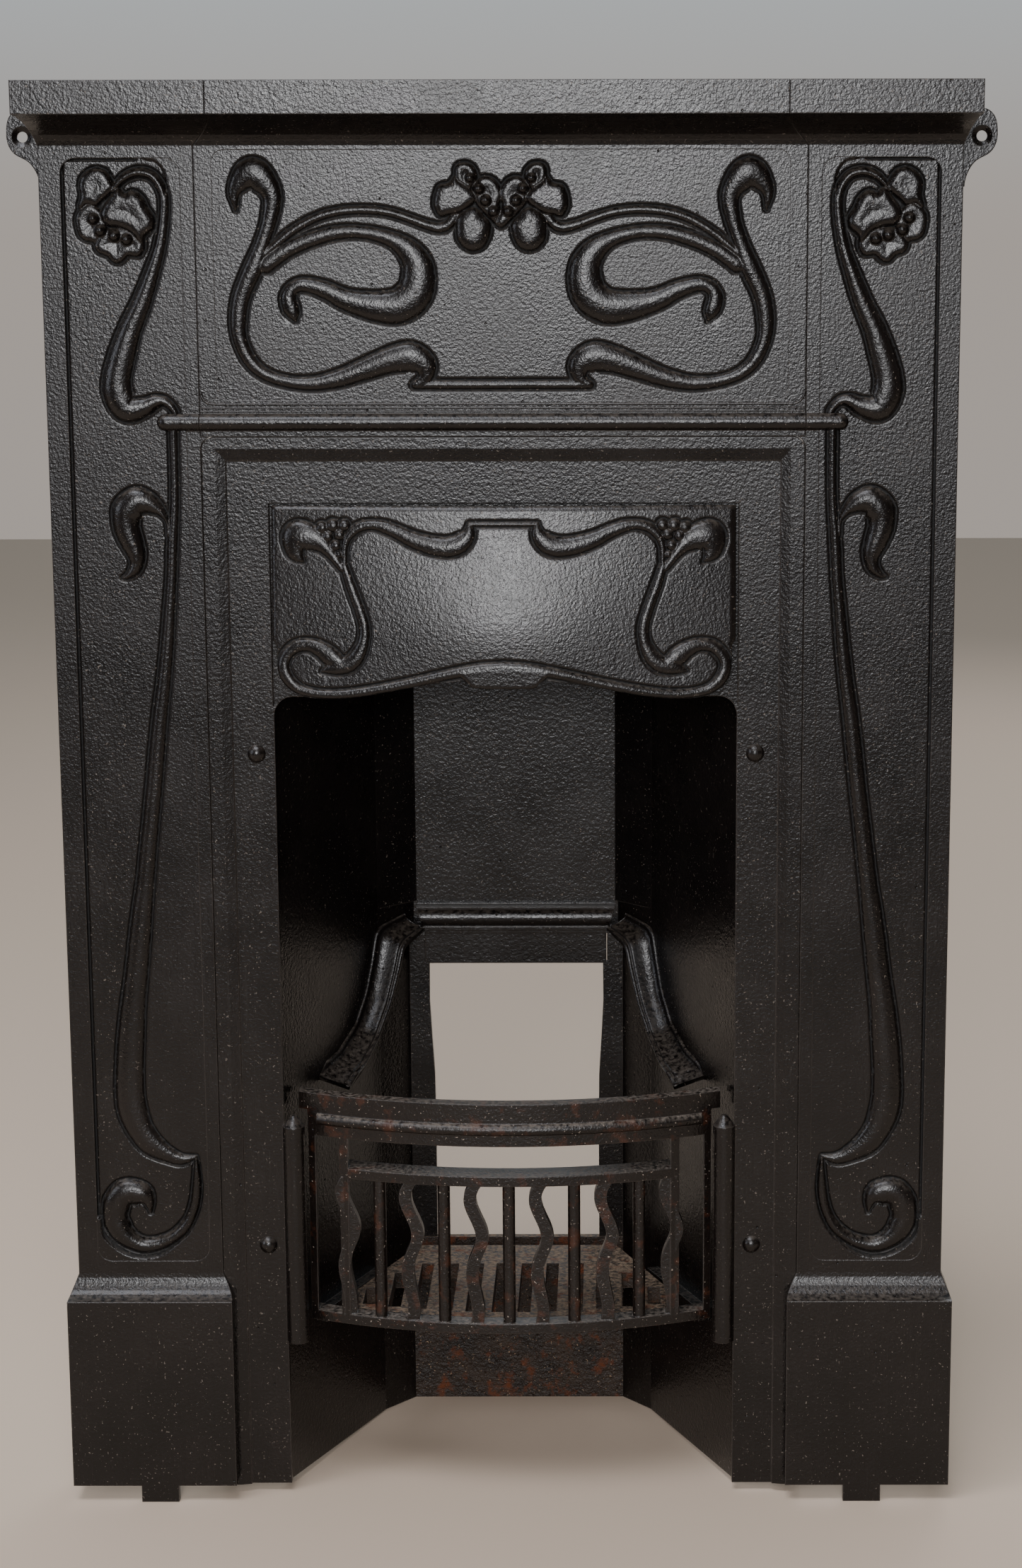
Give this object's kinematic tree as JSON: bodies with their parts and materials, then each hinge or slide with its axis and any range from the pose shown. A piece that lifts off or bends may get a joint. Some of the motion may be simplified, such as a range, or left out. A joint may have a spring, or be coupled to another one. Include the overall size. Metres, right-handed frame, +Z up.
{
  "type": "cast-iron combination fireplace",
  "caption": "Cast-iron fireplace in one with its mantel shelf: jambs, frieze, frame, bowed hood, firebox, front grille, grate and damper.",
  "frame": {"origin": "on the hearth, midway between the jambs, in the plane of the jamb faces", "axes": "+X to the viewer's right, +Y back into the wall, +Z up"},
  "size_m": [0.648, 0.234, 0.965],
  "materials": {
    "blackleaded_iron": "blackleaded, satin",
    "burnt_iron": "matt, ash and rust in the corners",
    "fasteners": "painted with the castings"
  },
  "bodies": {
    "surround": {"right_jamb": "blackleaded_iron", "left_jamb": "blackleaded_iron", "frieze": "blackleaded_iron", "insert_frame": "blackleaded_iron", "right_cheek": "blackleaded_iron", "left_cheek": "blackleaded_iron", "upper_back": "blackleaded_iron", "throat_plate": "blackleaded_iron", "lower_back": "burnt_iron", "damper_pin": "fasteners", "cheek_bolts": "fasteners", "cheek_nuts": "fasteners", "jamb_bolts": "fasteners", "jamb_nuts": "fasteners", "frieze_bolts": "fasteners", "frieze_nuts": "fasteners", "back_bolts": "fasteners", "back_nuts": "fasteners", "throat_bolts": "fasteners", "throat_nuts": "fasteners"},
    "hood": {"canopy": "blackleaded_iron"},
    "grille": {"front_bars": "burnt_iron"},
    "grate": {"bottom_grate": "burnt_iron"},
    "damper": {"damper_flap": "blackleaded_iron"}
  },
  "joints": [
    {"name": "hood_lift_off", "type": "slide", "parent": "surround", "child": "hood", "axis": [0, -1, 0], "range_m": [0, 0.1]},
    {"name": "front_bars_lift_off", "type": "slide", "parent": "surround", "child": "grille", "axis": [0, 0, 1], "range_m": [0, 0.165]},
    {"name": "grate_lift_out", "type": "slide", "parent": "surround", "child": "grate", "axis": [0, 0, 1], "range_m": [0, 0.12]},
    {"name": "damper_hinge", "type": "hinge", "parent": "surround", "child": "damper", "pos_m": [0, 0.145, 0.7135], "axis": [-1, 0, 0], "range_deg": [0, 75]}
  ]
}
